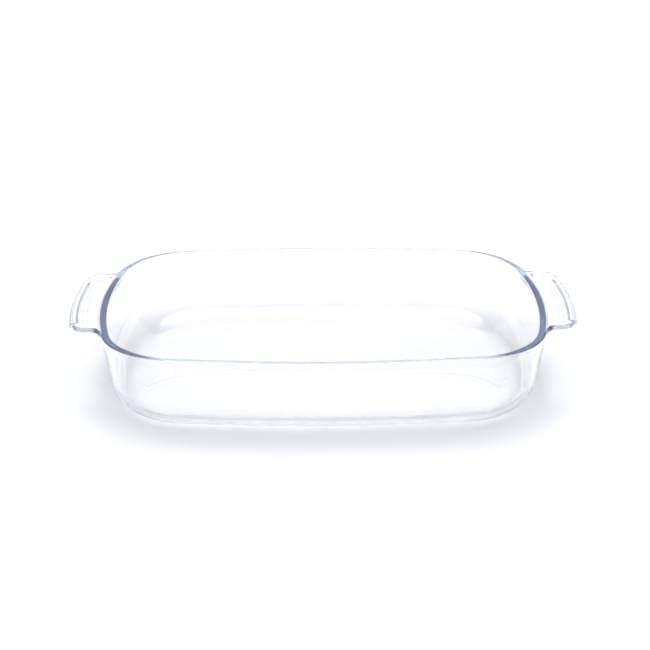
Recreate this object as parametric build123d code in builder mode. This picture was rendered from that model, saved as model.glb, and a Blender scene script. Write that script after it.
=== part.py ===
from build123d import *
import os
from math import acos, asin, atan2, cos, degrees, radians, sin, sqrt, tan

# A clear pressed-glass baking dish with a wing handle at each end.
# The real dish is one moulding. Its regions are separate solids here, which
# meet face to face: floor, heel, wall, rim, handles, handle lips and grip dots.
# Millimetres. Origin at the middle of the underside, X along the length,
# Y across, Z up.

# Plan of the rim, on its outer face
rim_length = 344.0
rim_width = 240.0
side_bow_radius = 955.0
end_bow_radius = 308.0
corner_radius = 62.5

# Height and section of the dish
dish_height = 62.0
draft_angle = 7.8
wall_thickness = 5.2
floor_thickness = 5.5
heel_radius = 28.0
rim_face = 6.0
rim_depth = 6.0
rim_edge_radius = 1.2

# Handles
handle_reach = 20.0
handle_half_width = 57.0
handle_taper = 2.0
handle_bow_radius = 300.0
handle_rise = 1.6
handle_thickness = 4.0
handle_root_thickness = 6.0
handle_root_band = 5.0
handle_root_radius = 8.0
handle_corner_radius = 9.0
handle_edge_radius = 1.2
cove_width = 2.6

# Lip wrapped under and outside the outer edge of a handle
lip_half_span = 42.0
lip_under = 4.0
lip_out = 2.4
lip_drop = 2.0
lip_wrap = 1.6
lip_edge_radius = 0.7

# Grip dots under a handle, in rows set in from its outer edge
dot_row_insets = (7.8, 10.9)
dots_per_row = 22
dot_half_span = 45.5
dot_radius = 0.9
dot_height = 0.5

os.makedirs("parts", exist_ok=True)


# ---- plan outline ----


def arc_centres():
    """Centres of the back side arc, the right end arc and the corner arc between them."""
    side = Vector(0, rim_width / 2 - side_bow_radius)
    end = Vector(rim_length / 2 - end_bow_radius, 0)
    side_to_corner = side_bow_radius - corner_radius
    end_to_corner = end_bow_radius - corner_radius
    apart = (end - side).length
    swing = acos((apart**2 + side_to_corner**2 - end_to_corner**2) / (2 * apart * side_to_corner))
    heading = atan2(end.Y - side.Y, end.X - side.X) - swing
    corner = side + Vector(cos(heading), sin(heading)) * side_to_corner
    return side, end, corner


side_centre, end_centre, corner_centre = arc_centres()
to_side = (corner_centre - side_centre).normalized()
to_end = (corner_centre - end_centre).normalized()
to_diagonal = (to_side + to_end).normalized()


def outline(inset):
    """Draws eight tangent arcs, parallel to the rim's outer face and an inset inside it."""
    side_tangent = side_centre + to_side * (side_bow_radius - inset)
    end_tangent = end_centre + to_end * (end_bow_radius - inset)
    corner_middle = corner_centre + to_diagonal * (corner_radius - inset)
    end_x, end_y = end_tangent.X, end_tangent.Y
    mid_x, mid_y = corner_middle.X, corner_middle.Y
    side_x, side_y = side_tangent.X, side_tangent.Y
    end_reach = rim_length / 2 - inset
    side_reach = rim_width / 2 - inset
    for s in (1, -1):
        ThreePointArc((s * end_x, -s * end_y), (s * end_reach, 0), (s * end_x, s * end_y))
        ThreePointArc((s * end_x, s * end_y), (s * mid_x, s * mid_y), (s * side_x, s * side_y))
        ThreePointArc((s * side_x, s * side_y), (0, s * side_reach), (-s * side_x, s * side_y))
        ThreePointArc((-s * side_x, s * side_y), (-s * mid_x, s * mid_y), (-s * end_x, s * end_y))


with BuildLine() as rim_line:
    outline(0)

rim_path = rim_line.wire()
start_tangent = rim_path % 0
start_inward = Vector(0, 0, 1).cross(start_tangent)

# Ring sections are drawn in this plane as (inset from the rim's outer face, height).
ring_plane = Plane(origin=rim_path @ 0, x_dir=start_inward, z_dir=start_tangent)


# ---- section of the shell ----

draft = radians(draft_angle)
wall_top = dish_height - rim_depth
wall_top_inset = rim_face - wall_thickness
heel_centre_inset = wall_top_inset + (wall_top - heel_radius) * tan(draft) + heel_radius / cos(draft)

# The inner bend ends over the same line as the outer one, so the floor has a square edge.
inner_room = heel_centre_inset - rim_face - (wall_top - floor_thickness) * tan(draft)
inner_heel_radius = inner_room / (1 / cos(draft) - tan(draft))
inner_heel_centre_height = floor_thickness + inner_heel_radius


def heel_point(radius, centre_height, share):
    """A point of a heel arc: share 0 at the floor, 1 at the wall."""
    swing = share * (radians(90) - draft)
    return (heel_centre_inset - radius * sin(swing), centre_height - radius * cos(swing))


outer_heel = [heel_point(heel_radius, heel_radius, share) for share in (0, 0.5, 1)]
inner_heel = [heel_point(inner_heel_radius, inner_heel_centre_height, share) for share in (0, 0.5, 1)]

with BuildPart() as floor:
    with BuildSketch():
        with BuildLine():
            outline(heel_centre_inset)
        make_face()
    extrude(amount=floor_thickness)

with BuildPart() as heel:
    with BuildSketch(ring_plane):
        with BuildLine():
            ThreePointArc(*outer_heel)
            Line(outer_heel[2], inner_heel[2])
            ThreePointArc(*inner_heel)
            Line(inner_heel[0], outer_heel[0])
        make_face()
    sweep(path=rim_path)

with BuildPart() as wall:
    with BuildSketch(ring_plane):
        with BuildLine():
            Polyline(outer_heel[2], (wall_top_inset, wall_top), (rim_face, wall_top), inner_heel[2])
            Line(inner_heel[2], outer_heel[2])
        make_face()
    sweep(path=rim_path)

with BuildPart() as rim:
    with BuildSketch(ring_plane) as rim_section:
        with Locations((rim_face / 2, wall_top + rim_depth / 2)):
            Rectangle(rim_face, rim_depth)
        fillet(rim_section.vertices().group_by(Axis.Y)[-1], rim_edge_radius)
    sweep(path=rim_path)


# ---- handles ----

handle_top = dish_height + handle_rise
handle_underside = handle_top - handle_thickness
handle_edge_x = rim_length / 2 + handle_reach
handle_axis_x = handle_edge_x - handle_bow_radius
handle_tip_half_width = handle_half_width - handle_taper
handle_tip_x = handle_axis_x + sqrt(handle_bow_radius**2 - handle_tip_half_width**2)
handle_inner_x = (end_centre + to_end * end_bow_radius).X - rim_face

back_tip = (handle_tip_x, handle_tip_half_width)
front_tip = (handle_tip_x, -handle_tip_half_width)
back_root = (handle_inner_x, handle_half_width)
front_root = (handle_inner_x, -handle_half_width)

# The plan of the dish and the right handle together. Growing it and shrinking it
# again rounds only its inner corners, where the handle's roots blend into the rim.
with BuildSketch() as handle_plan:
    with BuildLine():
        outline(0)
    make_face()
    with BuildLine():
        ThreePointArc(back_tip, (handle_edge_x, 0), front_tip)
        Polyline(front_tip, front_root, back_root, back_tip)
    make_face()
    offset(amount=handle_root_radius, kind=Kind.ARC)
    offset(amount=-handle_root_radius, kind=Kind.ARC)
    fillet(handle_plan.vertices().sort_by(Axis.X)[-2:], handle_corner_radius)

# The wedge between the rim's outer edge and the handle's top.
with BuildPart() as cove:
    with BuildSketch(ring_plane):
        with BuildLine():
            Polyline(
                (0, dish_height - rim_edge_radius),
                (-cove_width, handle_top),
                (cove_width, handle_top),
                (cove_width, dish_height - rim_edge_radius),
                close=True,
            )
        make_face()
    sweep(path=rim_path)

with BuildPart() as right_handle:
    with BuildSketch(Plane.XY.offset(handle_top - handle_root_thickness)):
        add(handle_plan.sketch)
    extrude(amount=handle_root_thickness)
    with BuildSketch(Plane.XY.offset(handle_top - handle_root_thickness)):
        add(handle_plan.sketch)
        with BuildLine():
            outline(-handle_root_band)
        make_face(mode=Mode.SUBTRACT)
    extrude(amount=handle_root_thickness - handle_thickness, mode=Mode.SUBTRACT)
    top_edges = right_handle.faces().sort_by(Axis.Z)[-1].edges()
    fillet(top_edges, handle_edge_radius)
    add(cove.part, mode=Mode.SUBTRACT)
    with BuildSketch():
        with BuildLine():
            outline(0)
        make_face()
    extrude(amount=handle_top, mode=Mode.SUBTRACT)

with BuildPart() as left_handle:
    mirror(right_handle.part, about=Plane.YZ)


# ---- grip lips ----

lip_half_swing = asin(lip_half_span / handle_bow_radius)
lip_outward = Vector(cos(lip_half_swing), -sin(lip_half_swing), 0)
lip_forward = lip_outward.cross(Vector(0, 0, 1))
lip_plane = Plane(origin=(handle_axis_x, 0, 0), x_dir=lip_outward, z_dir=lip_forward)

# The lip's block takes in the handle's edge, and then the handle is cut out of it.
with BuildPart() as right_handle_lip:
    with BuildSketch(lip_plane):
        with Locations((handle_bow_radius - lip_under, handle_underside - lip_drop)):
            Rectangle(lip_under + lip_out, lip_drop + lip_wrap, align=(Align.MIN, Align.MIN))
    revolve(axis=Axis((handle_axis_x, 0, 0), (0, 0, 1)), revolution_arc=2 * degrees(lip_half_swing))
    fillet(right_handle_lip.edges(), lip_edge_radius)
    add(right_handle.part, mode=Mode.SUBTRACT)

with BuildPart() as left_handle_lip:
    mirror(right_handle_lip.part, about=Plane.YZ)


# ---- grip dots ----

# Each dot is the bottom cap of a ball.
dot_ball_radius = (dot_radius**2 + dot_height**2) / (2 * dot_height)
dot_ball_height = handle_underside + dot_ball_radius - dot_height


def dot_places():
    """Centres of the balls, in rows that follow the handle's outer edge."""
    places = []
    for inset in dot_row_insets:
        row_radius = handle_bow_radius - inset
        half_swing = asin(dot_half_span / row_radius)
        for number in range(dots_per_row):
            turn = half_swing * (2 * number / (dots_per_row - 1) - 1)
            places.append((handle_axis_x + row_radius * cos(turn), row_radius * sin(turn), dot_ball_height))
    return places


with BuildPart() as right_grip_dots:
    with Locations(dot_places()):
        Sphere(dot_ball_radius)
    split(bisect_by=Plane.XY.offset(handle_underside), keep=Keep.BOTTOM)

with BuildPart() as left_grip_dots:
    mirror(right_grip_dots.part, about=Plane.YZ)


# ---- export ----

floor.part.label = "floor"
heel.part.label = "heel"
wall.part.label = "wall"
rim.part.label = "rim"
left_handle.part.label = "left_handle"
right_handle.part.label = "right_handle"
left_handle_lip.part.label = "left_handle_lip"
right_handle_lip.part.label = "right_handle_lip"
left_grip_dots.part.label = "left_grip_dots"
right_grip_dots.part.label = "right_grip_dots"

export_step(floor.part, "parts/floor.step")
export_step(heel.part, "parts/heel.step")
export_step(wall.part, "parts/wall.step")
export_step(rim.part, "parts/rim.step")
export_step(left_handle.part, "parts/left_handle.step")
export_step(right_handle.part, "parts/right_handle.step")
export_step(left_handle_lip.part, "parts/left_handle_lip.step")
export_step(right_handle_lip.part, "parts/right_handle_lip.step")
export_step(left_grip_dots.part, "parts/left_grip_dots.step")
export_step(right_grip_dots.part, "parts/right_grip_dots.step")
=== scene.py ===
import math

import bmesh
import bpy
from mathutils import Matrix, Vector


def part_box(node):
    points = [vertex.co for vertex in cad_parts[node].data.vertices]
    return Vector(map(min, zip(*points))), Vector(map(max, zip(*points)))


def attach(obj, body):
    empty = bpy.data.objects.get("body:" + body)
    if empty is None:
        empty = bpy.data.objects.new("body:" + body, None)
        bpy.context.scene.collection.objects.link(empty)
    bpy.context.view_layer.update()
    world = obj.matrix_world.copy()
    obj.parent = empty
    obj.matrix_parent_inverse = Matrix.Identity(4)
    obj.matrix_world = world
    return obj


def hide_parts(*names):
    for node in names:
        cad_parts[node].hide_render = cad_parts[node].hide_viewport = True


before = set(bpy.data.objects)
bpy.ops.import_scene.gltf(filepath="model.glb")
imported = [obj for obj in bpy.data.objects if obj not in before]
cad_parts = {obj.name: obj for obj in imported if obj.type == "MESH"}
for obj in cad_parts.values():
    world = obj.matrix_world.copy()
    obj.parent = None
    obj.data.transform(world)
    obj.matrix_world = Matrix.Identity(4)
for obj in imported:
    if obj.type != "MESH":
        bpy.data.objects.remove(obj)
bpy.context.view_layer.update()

MM = 0.001

# ---- sizes that the frame gives ----

floor_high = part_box("floor")[1]
wall_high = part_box("wall")[1]
rim_low, rim_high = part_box("rim")
handle_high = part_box("right_handle")[1]
lip_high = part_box("right_handle_lip")[1]
dots_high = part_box("right_grip_dots")[1]

HALF_LENGTH = rim_high.x
HALF_WIDTH = rim_high.y
RIM_TOP = rim_high.z
RIM_BOTTOM = rim_low.z
FLOOR_TOP = floor_high.z
HEEL_INSET = HALF_LENGTH - floor_high.x
WALL_TOP_INSET = HALF_LENGTH - wall_high.x
HANDLE_TOP = handle_high.z
HANDLE_EDGE_X = handle_high.x
HANDLE_UNDERSIDE = dots_high.z
LIP_HALF_SPAN = lip_high.y

# ---- sizes of the same design that a box can't give ----

SIDE_BOW_RADIUS = 955 * MM
END_BOW_RADIUS = 308 * MM
CORNER_RADIUS = 62.5 * MM
DRAFT = math.radians(7.8)
HEEL_RADIUS = 28 * MM
RIM_FACE = 6 * MM
RIM_EDGE_RADIUS = 1.2 * MM
HANDLE_BOW_RADIUS = 300 * MM
HANDLE_HALF_WIDTH = 57 * MM
HANDLE_TAPER = 2 * MM
HANDLE_ROOT_RADIUS = 8 * MM
HANDLE_CORNER_RADIUS = 9 * MM
HANDLE_THICKNESS = 4 * MM
HANDLE_EDGE_RADIUS = 1.2 * MM
LIP_FADE = 1.2 * MM  # half the stretch in which the lip's end turns into the plain edge

# The cove where a handle's top meets the rim, and the fillet under it.
COVE_START = -1.2 * MM
COVE_WIDTH = 3.8 * MM
COVE_DROP = 0.02 * MM  # how far below the rim's top it starts
ROOT_FILLET = 3.4 * MM
ROOT_DEPTH = 2.6 * MM

# A handle starts inside the rim, so that the union has no gap to bridge.
HIDDEN = 1.9 * MM
HIDDEN_STEP = 0.3 * MM
HIDDEN_TURN = 0.009

# Widths of a handle's section: the band that its edge profile takes, and the finely cut cove.
EDGE_ROOM = 5 * MM
FINE_REACH = 4.6 * MM
DOT_ROW_INSETS = (7.8 * MM, 10.9 * MM)
DOTS_PER_ROW = 22
DOT_HALF_SPAN = 45.5 * MM
DOT_RADIUS = 0.9 * MM
DOT_HEIGHT = 0.5 * MM
DOT_ROOT = 0.5 * MM  # how far a dot reaches up into the handle
DOT_SIDES = 14
DOT_SHARES = (0.8, 0.6, 0.4, 0.2, 0.06)  # of the way out from a dot's middle


# ---- plan outline ----


def flat(x, y):
    return Vector((x, y))


def meeting(centre_a, radius_a, centre_b, radius_b, side):
    """Where two circles cross, on the left (1) or right (-1) of the line from a to b."""
    apart = centre_b - centre_a
    gap = apart.length
    forward = (gap**2 + radius_a**2 - radius_b**2) / (2 * gap)
    across = math.sqrt(radius_a**2 - forward**2)
    unit = apart / gap
    return centre_a + unit * forward + flat(-unit.y, unit.x) * across * side


def heading(start, aim):
    return math.atan2(aim.y - start.y, aim.x - start.x)


SIDE_CENTRE = flat(0, HALF_WIDTH - SIDE_BOW_RADIUS)
END_CENTRE = flat(HALF_LENGTH - END_BOW_RADIUS, 0)
CORNER_CENTRE = meeting(
    SIDE_CENTRE, SIDE_BOW_RADIUS - CORNER_RADIUS, END_CENTRE, END_BOW_RADIUS - CORNER_RADIUS, -1
)
END_ANGLE = heading(END_CENTRE, CORNER_CENTRE)
SIDE_ANGLE = heading(SIDE_CENTRE, CORNER_CENTRE)


def arc(centre, radius, start, stop, steps):
    """Points from start up to, but not including, stop."""
    turns = [start + (stop - start) * i / steps for i in range(steps)]
    return [centre + flat(math.cos(turn), math.sin(turn)) * radius for turn in turns]


END_STEPS = 20
CORNER_STEPS = 28
SIDE_STEPS = 30
HEEL_STEPS = 22
EDGE_STEPS = 7


def outline(inset):
    """The dish's plan, anticlockwise from the right end, parallel to the rim and inset from it."""
    quarter = arc(END_CENTRE, END_BOW_RADIUS - inset, 0, END_ANGLE, END_STEPS)
    quarter += arc(CORNER_CENTRE, CORNER_RADIUS - inset, END_ANGLE, SIDE_ANGLE, CORNER_STEPS)
    quarter += arc(SIDE_CENTRE, SIDE_BOW_RADIUS - inset, SIDE_ANGLE, math.pi / 2, SIDE_STEPS)
    quarter.append(flat(0, HALF_WIDTH - inset))
    back = quarter + [flat(-p.x, p.y) for p in reversed(quarter[:-1])]
    return back + [flat(p.x, -p.y) for p in reversed(back[1:-1])]


# ---- section of the bowl ----


def bend(centre, radius, start, stop, steps):
    """Section points round an arc, angles in degrees with 0 towards a larger inset."""
    points = []
    for i in range(steps + 1):
        turn = math.radians(start + (stop - start) * i / steps)
        points.append((centre[0] + radius * math.cos(turn), centre[1] + radius * math.sin(turn)))
    return points


# Distances past the heel at which the flat floor's rings lie.
FLAT_INNER = 10 * MM
FLAT_OUTER = 1.5 * MM

# Heights of the rings on the wall, in millimetres, up the outside and down the inside.
OUTER_WALL_HEIGHTS = (25.2, 32, 40, 48, 53.6)
INNER_WALL_HEIGHTS = (53.6, 48, 40, 32, 26.2)

# Rings that hold the rim's faces flat beside its rounded edges and its meeting with the wall.
RIM_FACE_MARGIN = 0.5 * MM
RIM_SIDE_MARGIN = 0.6 * MM
WALL_MEETING_ABOVE = 1 * MM
WALL_MEETING_BELOW = 1.2 * MM

# The soft shoulder from the wall out to the rim's outer face, as (inset, height) in millimetres.
RIM_SHOULDER = (
    (0.98, 54.6), (0.86, 55.2), (0.74, 55.8), (0.58, 56.4), (0.4, 57), (0.24, 57.6), (0.11, 58.2),
    (0.03, 58.8), (0, 59.4),
)


def bowl_section():
    """(inset, height) from the middle of the underside, over the rim, to the middle of the floor."""
    slope = math.tan(DRAFT)
    tilt = math.degrees(DRAFT)
    thickness = RIM_FACE - WALL_TOP_INSET
    inner_room = HEEL_INSET - RIM_FACE - (RIM_BOTTOM - FLOOR_TOP) * slope
    inner_radius = inner_room / (1 / math.cos(DRAFT) - slope)

    def wall(height, depth):
        return (WALL_TOP_INSET + depth + (RIM_BOTTOM - height) * slope, height)

    edge = RIM_EDGE_RADIUS
    points = [(HEEL_INSET + FLAT_INNER, 0), (HEEL_INSET + FLAT_OUTER, 0)]
    points += bend((HEEL_INSET, HEEL_RADIUS), HEEL_RADIUS, 270, 180 + tilt, HEEL_STEPS)
    points += [wall(h * MM, 0) for h in OUTER_WALL_HEIGHTS]
    points += [(inset * MM, height * MM) for inset, height in RIM_SHOULDER]
    points.append((0, RIM_TOP - edge - RIM_SIDE_MARGIN))
    points += bend((edge, RIM_TOP - edge), edge, 180, 90, EDGE_STEPS)
    points.append((edge + RIM_FACE_MARGIN, RIM_TOP))
    points.append((RIM_FACE - edge - RIM_FACE_MARGIN, RIM_TOP))
    points += bend((RIM_FACE - edge, RIM_TOP - edge), edge, 90, 0, EDGE_STEPS)
    points.append((RIM_FACE, RIM_TOP - edge - RIM_SIDE_MARGIN))
    points.append((RIM_FACE, RIM_BOTTOM + WALL_MEETING_ABOVE))
    points.append(wall(RIM_BOTTOM - WALL_MEETING_BELOW, thickness))
    points += [wall(h * MM, thickness) for h in INNER_WALL_HEIGHTS]
    points += bend((HEEL_INSET, FLOOR_TOP + inner_radius), inner_radius, 180 + tilt, 270, HEEL_STEPS)
    points += [(HEEL_INSET + FLAT_OUTER, FLOOR_TOP), (HEEL_INSET + FLAT_INNER, FLOOR_TOP)]
    return points


# ---- meshes ----


def new_object(name, mesh):
    made = bpy.data.objects.new(name, mesh)
    bpy.context.scene.collection.objects.link(made)
    return made


def tube_of_rings(bm, rings):
    """Joins rings of points into a closed skin, with a flat cap on the first and the last."""
    rows = [[bm.verts.new(p) for p in ring] for ring in rings]
    for low, high in zip(rows, rows[1:]):
        for i in range(len(low)):
            j = (i + 1) % len(low)
            bm.faces.new((low[i], low[j], high[j], high[i]))
    bm.faces.new(list(reversed(rows[0])))
    bm.faces.new(rows[-1])


def finish_mesh(bm, name):
    bmesh.ops.recalc_face_normals(bm, faces=bm.faces)
    mesh = bpy.data.meshes.new(name)
    bm.to_mesh(mesh)
    bm.free()
    return new_object(name, mesh)


def make_bowl():
    bm = bmesh.new()
    rings = [[(p.x, p.y, height) for p in outline(inset)] for inset, height in bowl_section()]
    tube_of_rings(bm, rings)
    return finish_mesh(bm, "bowl")


# ---- handles ----

BOW_CENTRE = flat(HANDLE_EDGE_X - HANDLE_BOW_RADIUS, 0)


def handle_outline():
    """Half of the right handle's plan, from its root on the rim to the middle of its outer edge."""
    tip_half_width = HANDLE_HALF_WIDTH - HANDLE_TAPER
    root = flat(END_CENTRE.x + math.sqrt(END_BOW_RADIUS**2 - HANDLE_HALF_WIDTH**2), HANDLE_HALF_WIDTH)
    tip = flat(BOW_CENTRE.x + math.sqrt(HANDLE_BOW_RADIUS**2 - tip_half_width**2), tip_half_width)
    run = (tip - root).normalized()
    out = flat(-run.y, run.x)

    def on_line(offset, centre, radius):
        """Where the side line, moved out by an offset, crosses a circle, on its far side."""
        start = root + out * offset - centre
        half = start.dot(run)
        return centre + start + run * (-half + math.sqrt(half**2 - start.length_squared + radius**2))

    root_centre = on_line(HANDLE_ROOT_RADIUS, END_CENTRE, END_BOW_RADIUS + HANDLE_ROOT_RADIUS)
    corner_centre = on_line(-HANDLE_CORNER_RADIUS, BOW_CENTRE, HANDLE_BOW_RADIUS - HANDLE_CORNER_RADIUS)
    root_start = heading(root_centre, END_CENTRE)
    root_stop = heading(flat(0, 0), -out)
    corner_start = heading(flat(0, 0), out)
    corner_stop = heading(BOW_CENTRE, corner_centre)
    hidden_turn = heading(END_CENTRE, root_centre) + HIDDEN_TURN
    points = arc(END_CENTRE, END_BOW_RADIUS - HIDDEN + HIDDEN_STEP, hidden_turn, 0, 1)
    points += arc(root_centre, HANDLE_ROOT_RADIUS, root_start + math.tau, root_stop + math.tau, 12)
    line_start = root_centre - out * HANDLE_ROOT_RADIUS
    line_stop = corner_centre + out * HANDLE_CORNER_RADIUS
    points += [line_start.lerp(line_stop, i / 4) for i in range(4)]
    points += arc(corner_centre, HANDLE_CORNER_RADIUS, corner_start, corner_stop, 14)
    lip_stop = math.asin(LIP_HALF_SPAN / HANDLE_BOW_RADIUS)
    reach = 2 * LIP_FADE / HANDLE_BOW_RADIUS
    points += arc(BOW_CENTRE, HANDLE_BOW_RADIUS, corner_stop, lip_stop + reach, 3)
    points += arc(BOW_CENTRE, HANDLE_BOW_RADIUS, lip_stop + reach, lip_stop - reach, 12)
    points += arc(BOW_CENTRE, HANDLE_BOW_RADIUS, lip_stop - reach, 0, 30)
    points.append(flat(HANDLE_EDGE_X, 0))
    return points


def smooth(share):
    share = min(max(share, 0), 1)
    return (1 - math.cos(math.pi * share)) / 2


def outside(p):
    """How far a plan point lies outside the rim's outer face, at the right end."""
    return (p - END_CENTRE).length - END_BOW_RADIUS


def top_height(p):
    """The handle's top, which starts just under the rim's top and climbs the cove."""
    low = RIM_TOP - COVE_DROP
    return low + (HANDLE_TOP - low) * smooth((outside(p) - COVE_START) / COVE_WIDTH)


def under_height(p):
    """The handle's underside, which drops into the fillet against the rim."""
    near = 1 - min(max(outside(p), 0) / ROOT_FILLET, 1)
    return HANDLE_UNDERSIDE - ROOT_DEPTH * near**2


# Edge of a handle as (distance inward from its outline, height from its top), in millimetres,
# going down and back under: first where it is plain, then where the lip wraps it.
PLAIN_EDGE = (
    (0, -1.2), (0, -1.4), (0, -1.6), (0, -1.8), (0, -2), (0.02, -2.2), (0.06, -2.45), (0.14, -2.7),
    (0.26, -2.95), (0.42, -3.2), (0.62, -3.45), (0.9, -3.7), (1.25, -3.88), (1.7, -4), (2.3, -4),
    (3, -4), (3.8, -4), (4.8, -4),
)
LIP_EDGE = (
    (0, -1.2), (0, -1.5), (0, -1.9), (-0.3, -2.25), (-1.4, -2.35), (-2, -2.6), (-2.35, -3.1),
    (-2.4, -3.8), (-2.4, -4.6), (-2.2, -5.3), (-1.7, -5.8), (-1, -6), (2.4, -6), (3.3, -5.8),
    (3.8, -5.2), (4, -4.6), (4.2, -4.15), (4.8, -4),
)


# Profile points further in than this follow the underside, and the others hang from the top.
UNDERSIDE_FROM = 0.3


def edge_point(at, outward, inward, drop, room):
    """A point of the handle's edge, squeezed where the handle is narrow or its edge is deeper."""
    squeeze = room / EDGE_ROOM if inward > 0 else 1
    p = at - outward * inward * MM * squeeze
    if inward > UNDERSIDE_FROM:
        return (p.x, p.y, under_height(p) + HANDLE_THICKNESS + drop * MM)
    top = top_height(at)
    rounding = min(HANDLE_EDGE_RADIUS, room / 2)
    stretch = (top - under_height(at) - rounding) / (HANDLE_THICKNESS - HANDLE_EDGE_RADIUS)
    return (p.x, p.y, top - rounding + (drop * MM + HANDLE_EDGE_RADIUS) * stretch)


def handle_loop(start, at, outward):
    """One closed section of the handle, from inside the rim out to its outline and back."""
    room = min(EDGE_ROOM, 0.45 * (at - start).length)
    rounding = min(HANDLE_EDGE_RADIUS, room / 2)
    inner = at - outward * room
    run = (inner - start).length
    near = min(FINE_REACH, 0.6 * run) / run
    shares = [near * i / 12 for i in range(12)] + [near + (1 - near) * i / 6 for i in range(6)]
    tops = [start.lerp(inner, share) for share in shares]
    tops += [at - outward * (room + (rounding - room) * i / 3) for i in range(3)]
    loop = [(p.x, p.y, top_height(p)) for p in tops]
    for i in range(5):
        turn = math.radians(90 * i / 5)
        p = at - outward * rounding * (1 - math.sin(turn))
        loop.append((p.x, p.y, top_height(p) - rounding * (1 - math.cos(turn))))
    lip = smooth((LIP_HALF_SPAN + LIP_FADE - abs(at.y)) / (2 * LIP_FADE))
    for plain, lipped in zip(PLAIN_EDGE, LIP_EDGE):
        a = Vector(edge_point(at, outward, *plain, room))
        b = Vector(edge_point(at, outward, *lipped, room))
        loop.append(tuple(a.lerp(b, lip)))
    for share in reversed(shares):
        p = start.lerp(inner, share)
        loop.append((p.x, p.y, under_height(p)))
    return loop


def make_handle(name, side):
    half = handle_outline()
    line = half + [flat(p.x, -p.y) for p in reversed(half[:-1])]
    along = [0]
    for a, b in zip(line, line[1:]):
        along.append(along[-1] + (b - a).length)
    start_turn = heading(END_CENTRE, line[0])
    bm = bmesh.new()
    rings = []
    for i, at in enumerate(line):
        ahead = line[min(i + 1, len(line) - 1)]
        behind = line[max(i - 1, 0)]
        run = (ahead - behind).normalized()
        turn = start_turn * (1 - 2 * along[i] / along[-1])
        start = END_CENTRE + flat(math.cos(turn), math.sin(turn)) * (END_BOW_RADIUS - HIDDEN)
        loop = handle_loop(start, at, flat(-run.y, run.x))
        rings.append([(side * x, y, z) for x, y, z in loop])
    tube_of_rings(bm, rings)
    return finish_mesh(bm, name)


def make_dots(name, side):
    """Small domes under a handle, each one closed and reaching up into the plate."""
    ball = (DOT_RADIUS**2 + DOT_HEIGHT**2) / (2 * DOT_HEIGHT)
    widest = math.asin(DOT_RADIUS / ball)
    profile = [(DOT_RADIUS, DOT_ROOT), (DOT_RADIUS, 0)]
    for share in DOT_SHARES:
        turn = widest * share
        profile.append((ball * math.sin(turn), ball * (math.cos(widest) - math.cos(turn))))
    bm = bmesh.new()
    for inset in DOT_ROW_INSETS:
        row = HANDLE_BOW_RADIUS - inset
        half_swing = math.asin(DOT_HALF_SPAN / row)
        for number in range(DOTS_PER_ROW):
            turn = half_swing * (2 * number / (DOTS_PER_ROW - 1) - 1)
            centre = BOW_CENTRE + flat(math.cos(turn), math.sin(turn)) * row
            rings = []
            for radius, height in profile:
                ring = arc(centre, radius, 0, math.tau, DOT_SIDES)
                rings.append([(side * p.x, p.y, HANDLE_UNDERSIDE + height) for p in ring])
            tube_of_rings(bm, rings)
    return finish_mesh(bm, name)


# ---- one moulding ----

WELD = 0.002 * MM
SHARP_ANGLE = math.radians(38)


def unite(target, *others):
    """Joins the others to the target as one closed skin, and deletes them."""
    for other in others:
        joining = target.modifiers.new("join", "BOOLEAN")
        joining.operation = "UNION"
        joining.solver = "EXACT"
        joining.object = other
        seen = target.evaluated_get(bpy.context.evaluated_depsgraph_get())
        mesh = bpy.data.meshes.new_from_object(seen)
        target.modifiers.clear()
        target.data = mesh
        bpy.data.objects.remove(other)


def smooth_shading(mesh):
    mesh.shade_smooth()
    mesh.set_sharp_from_angle(angle=SHARP_ANGLE)


def make_dish():
    dish = make_bowl()
    for name, side in (("right", 1), ("left", -1)):
        handle = make_handle(name + "_wing", side)
        unite(handle, make_dots(name + "_dots", side))
        unite(dish, handle)
    bm = bmesh.new()
    bm.from_mesh(dish.data)
    bmesh.ops.remove_doubles(bm, verts=bm.verts, dist=WELD)
    bmesh.ops.dissolve_degenerate(bm, edges=bm.edges, dist=WELD)
    bm.to_mesh(dish.data)
    bm.free()
    dish.name = "glass_dish"
    smooth_shading(dish.data)
    return dish


# ---- materials ----


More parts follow.
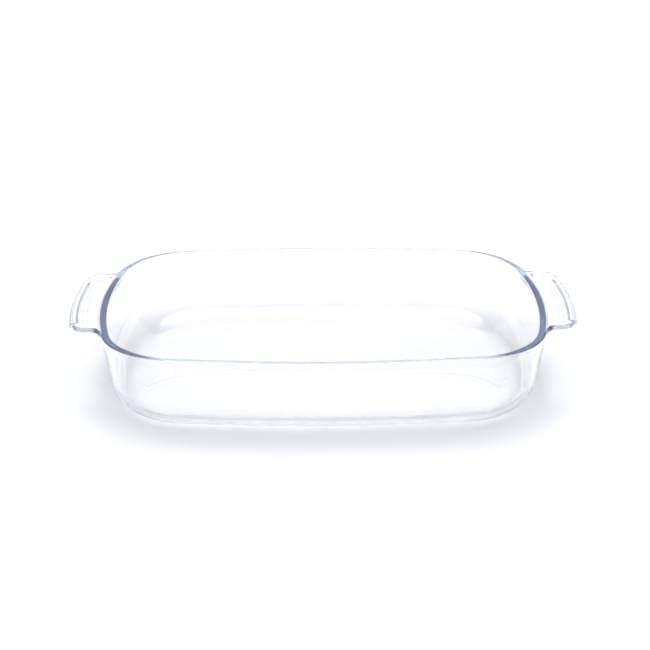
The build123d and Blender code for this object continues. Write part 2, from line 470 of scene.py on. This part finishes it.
def make_glass():
    glass = bpy.data.materials.new("clear_pressed_glass")
    glass.use_nodes = True
    nodes, links = glass.node_tree.nodes, glass.node_tree.links
    shader = nodes["Principled BSDF"]
    shader.inputs["Base Color"].default_value = (1, 1, 1, 1)
    shader.inputs["Transmission Weight"].default_value = 1
    shader.inputs["IOR"].default_value = 1.48
    place = nodes.new("ShaderNodeTexCoord")

    # Pressed glass isn't quite flat: the mould leaves long slow waves.
    waves = nodes.new("ShaderNodeTexNoise")
    waves.inputs["Scale"].default_value = 16
    waves.inputs["Detail"].default_value = 1
    links.new(place.outputs["Object"], waves.inputs["Vector"])
    bump = nodes.new("ShaderNodeBump")
    bump.inputs["Strength"].default_value = 0.12
    bump.inputs["Distance"].default_value = 0.4 * MM
    links.new(waves.outputs["Fac"], bump.inputs["Height"])
    links.new(bump.outputs["Normal"], shader.inputs["Normal"])

    # The mould leaves some patches a little less polished than others.
    patches = nodes.new("ShaderNodeTexNoise")
    patches.inputs["Scale"].default_value = 60
    patches.inputs["Detail"].default_value = 4
    links.new(place.outputs["Object"], patches.inputs["Vector"])
    polish = nodes.new("ShaderNodeMapRange")
    polish.inputs["From Min"].default_value = 0.45
    polish.inputs["From Max"].default_value = 0.8
    polish.inputs["To Min"].default_value = 0
    polish.inputs["To Max"].default_value = 0.03
    links.new(patches.outputs["Fac"], polish.inputs["Value"])
    links.new(polish.outputs["Result"], shader.inputs["Roughness"])

    tint = nodes.new("ShaderNodeVolumeAbsorption")
    tint.inputs["Color"].default_value = (0.58, 0.66, 0.8, 1)
    tint.inputs["Density"].default_value = 4
    links.new(tint.outputs["Volume"], nodes["Material Output"].inputs["Volume"])
    return glass


def make_paper():
    paper = bpy.data.materials.new("studio_paper")
    paper.use_nodes = True
    nodes, links = paper.node_tree.nodes, paper.node_tree.links
    shader = nodes["Principled BSDF"]
    shader.inputs["Roughness"].default_value = 0.9
    shader.inputs["Specular IOR Level"].default_value = 0
    place = nodes.new("ShaderNodeTexCoord")
    grain = nodes.new("ShaderNodeTexNoise")
    grain.inputs["Scale"].default_value = 400
    links.new(place.outputs["Object"], grain.inputs["Vector"])
    shade = nodes.new("ShaderNodeMapRange")
    shade.inputs["To Min"].default_value = 0.9
    shade.inputs["To Max"].default_value = 0.93
    links.new(grain.outputs["Fac"], shade.inputs["Value"])
    links.new(shade.outputs["Result"], shader.inputs["Base Color"])
    return paper


# ---- studio ----

FLOOR_RADIUS = 9
FLOOR_DROP = 0.05 * MM  # keeps the paper clear of the dish's base
FLOOR_SIDES = 64


def make_floor():
    bm = bmesh.new()
    rim = arc(flat(0, 0), FLOOR_RADIUS, 0, math.tau, FLOOR_SIDES)
    bm.faces.new([bm.verts.new((p.x, p.y, -FLOOR_DROP)) for p in rim])
    floor = finish_mesh(bm, "floor_paper")
    floor.data.materials.append(make_paper())


# Light of the studio by the sine of its elevation: behind, a pale sweep with a dusky gap above
# it; in front and at the sides, a dark room; and a large soft box overhead in both.
HORIZON = (0.72, 0.73, 0.76, 1)
SWEEP = (0.9, 0.91, 0.95, 1)
DUSK = (0.04, 0.075, 0.18, 1)
NIGHT = (0.012, 0.022, 0.055, 1)
SOFT_BOX = (2.85, 2.88, 2.99, 1)
BEHIND = ((0, HORIZON), (0.25, SWEEP), (0.5, SWEEP), (0.62, DUSK), (0.78, DUSK), (0.84, SOFT_BOX))
IN_FRONT = ((0, NIGHT), (0.78, NIGHT), (0.84, SOFT_BOX))
TURN_START, TURN_STOP = 0.3, 0.7  # Y of a direction, over which the front turns into the back
FILL_STRENGTH = 0.34

# The side cards' places, in metres, and their colour.
CARD_DISTANCE = 0.3
CARD_NEAR, CARD_FAR = -0.35, 0.45
CARD_LOW, CARD_HIGH = 0.08, 0.45
CARD_BLUE = (0.02, 0.035, 0.09, 1)

# The camera looks at AIM from this far away, raised and turned by these angles.
SENSOR_WIDTH = 36
FOCAL_LENGTH = 88.615
AIM = Vector((1.757, -0.029, 41.29)) * MM
DISTANCE = 1252.17 * MM
ELEVATION = math.radians(23.0165)
TURNED = math.radians(0.9355)
BOUNCES = 128


def light_ramp(nodes, stops):
    made = nodes.new("ShaderNodeValToRGB")
    elements = made.color_ramp.elements
    elements.remove(elements[-1])
    elements[0].position, elements[0].color = stops[0]
    for position, colour in stops[1:]:
        elements.new(position).color = colour
    return made


def make_world():
    world = bpy.data.worlds.new("studio")
    bpy.context.scene.world = world
    world.use_nodes = True
    nodes, links = world.node_tree.nodes, world.node_tree.links
    place = nodes.new("ShaderNodeTexCoord")
    split = nodes.new("ShaderNodeSeparateXYZ")
    links.new(place.outputs["Generated"], split.inputs["Vector"])
    behind = light_ramp(nodes, BEHIND)
    in_front = light_ramp(nodes, IN_FRONT)
    links.new(split.outputs["Z"], behind.inputs["Fac"])
    links.new(split.outputs["Z"], in_front.inputs["Fac"])
    turn = nodes.new("ShaderNodeMapRange")
    turn.inputs["From Min"].default_value = TURN_START
    turn.inputs["From Max"].default_value = TURN_STOP
    links.new(split.outputs["Y"], turn.inputs["Value"])
    blend = nodes.new("ShaderNodeMix")
    blend.data_type = "RGBA"
    links.new(turn.outputs["Result"], blend.inputs["Factor"])
    links.new(in_front.outputs["Color"], blend.inputs["A"])
    links.new(behind.outputs["Color"], blend.inputs["B"])
    links.new(blend.outputs["Result"], nodes["Background"].inputs["Color"])


def make_fill():
    """Even light without shadows, which keeps the paper pale around the dish."""
    light = bpy.data.lights.new("fill", "SUN")
    light.energy = FILL_STRENGTH
    light.angle = 0
    light.use_shadow = False
    bpy.context.scene.collection.objects.link(bpy.data.objects.new("fill", light))


def make_side_card(name, x):
    """A dark card beside the dish, seen only in its glass, and not by a camera or in shadows.

    It hangs above the rim, so a straight line of sight down through the dish misses it.
    """
    corners = [(x, CARD_NEAR, CARD_LOW), (x, CARD_FAR, CARD_LOW), (x, CARD_FAR, CARD_HIGH)]
    corners.append((x, CARD_NEAR, CARD_HIGH))
    bm = bmesh.new()
    bm.faces.new([bm.verts.new(corner) for corner in corners])
    card = finish_mesh(bm, name)
    paper = bpy.data.materials.new(name)
    paper.use_nodes = True
    shader = paper.node_tree.nodes["Principled BSDF"]
    shader.inputs["Base Color"].default_value = CARD_BLUE
    shader.inputs["Roughness"].default_value = 1
    shader.inputs["Specular IOR Level"].default_value = 0
    card.data.materials.append(paper)
    card.visible_camera = False
    card.visible_diffuse = False
    card.visible_shadow = False


def make_camera():
    lens = bpy.data.cameras.new("camera")
    lens.sensor_width = SENSOR_WIDTH
    lens.lens = FOCAL_LENGTH
    camera = bpy.data.objects.new("camera", lens)
    bpy.context.scene.collection.objects.link(camera)
    level = math.cos(ELEVATION)
    back = Vector((-math.sin(TURNED) * level, -math.cos(TURNED) * level, math.sin(ELEVATION)))
    camera.location = AIM + back * DISTANCE
    camera.rotation_euler = (-back).to_track_quat("-Z", "Y").to_euler()
    bpy.context.scene.camera = camera


dish = make_dish()
dish.data.materials.clear()
dish.data.materials.append(make_glass())
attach(dish, "root")
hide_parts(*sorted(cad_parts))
make_floor()
make_world()
make_fill()
make_side_card("card_left", -CARD_DISTANCE)
make_side_card("card_right", CARD_DISTANCE)
make_camera()

scene = bpy.context.scene
scene.view_settings.view_transform = "Standard"

# Light that a wall traps runs a long way through the glass before it leaves.
scene.cycles.max_bounces = BOUNCES
scene.cycles.transmission_bounces = BOUNCES
scene.cycles.glossy_bounces = BOUNCES
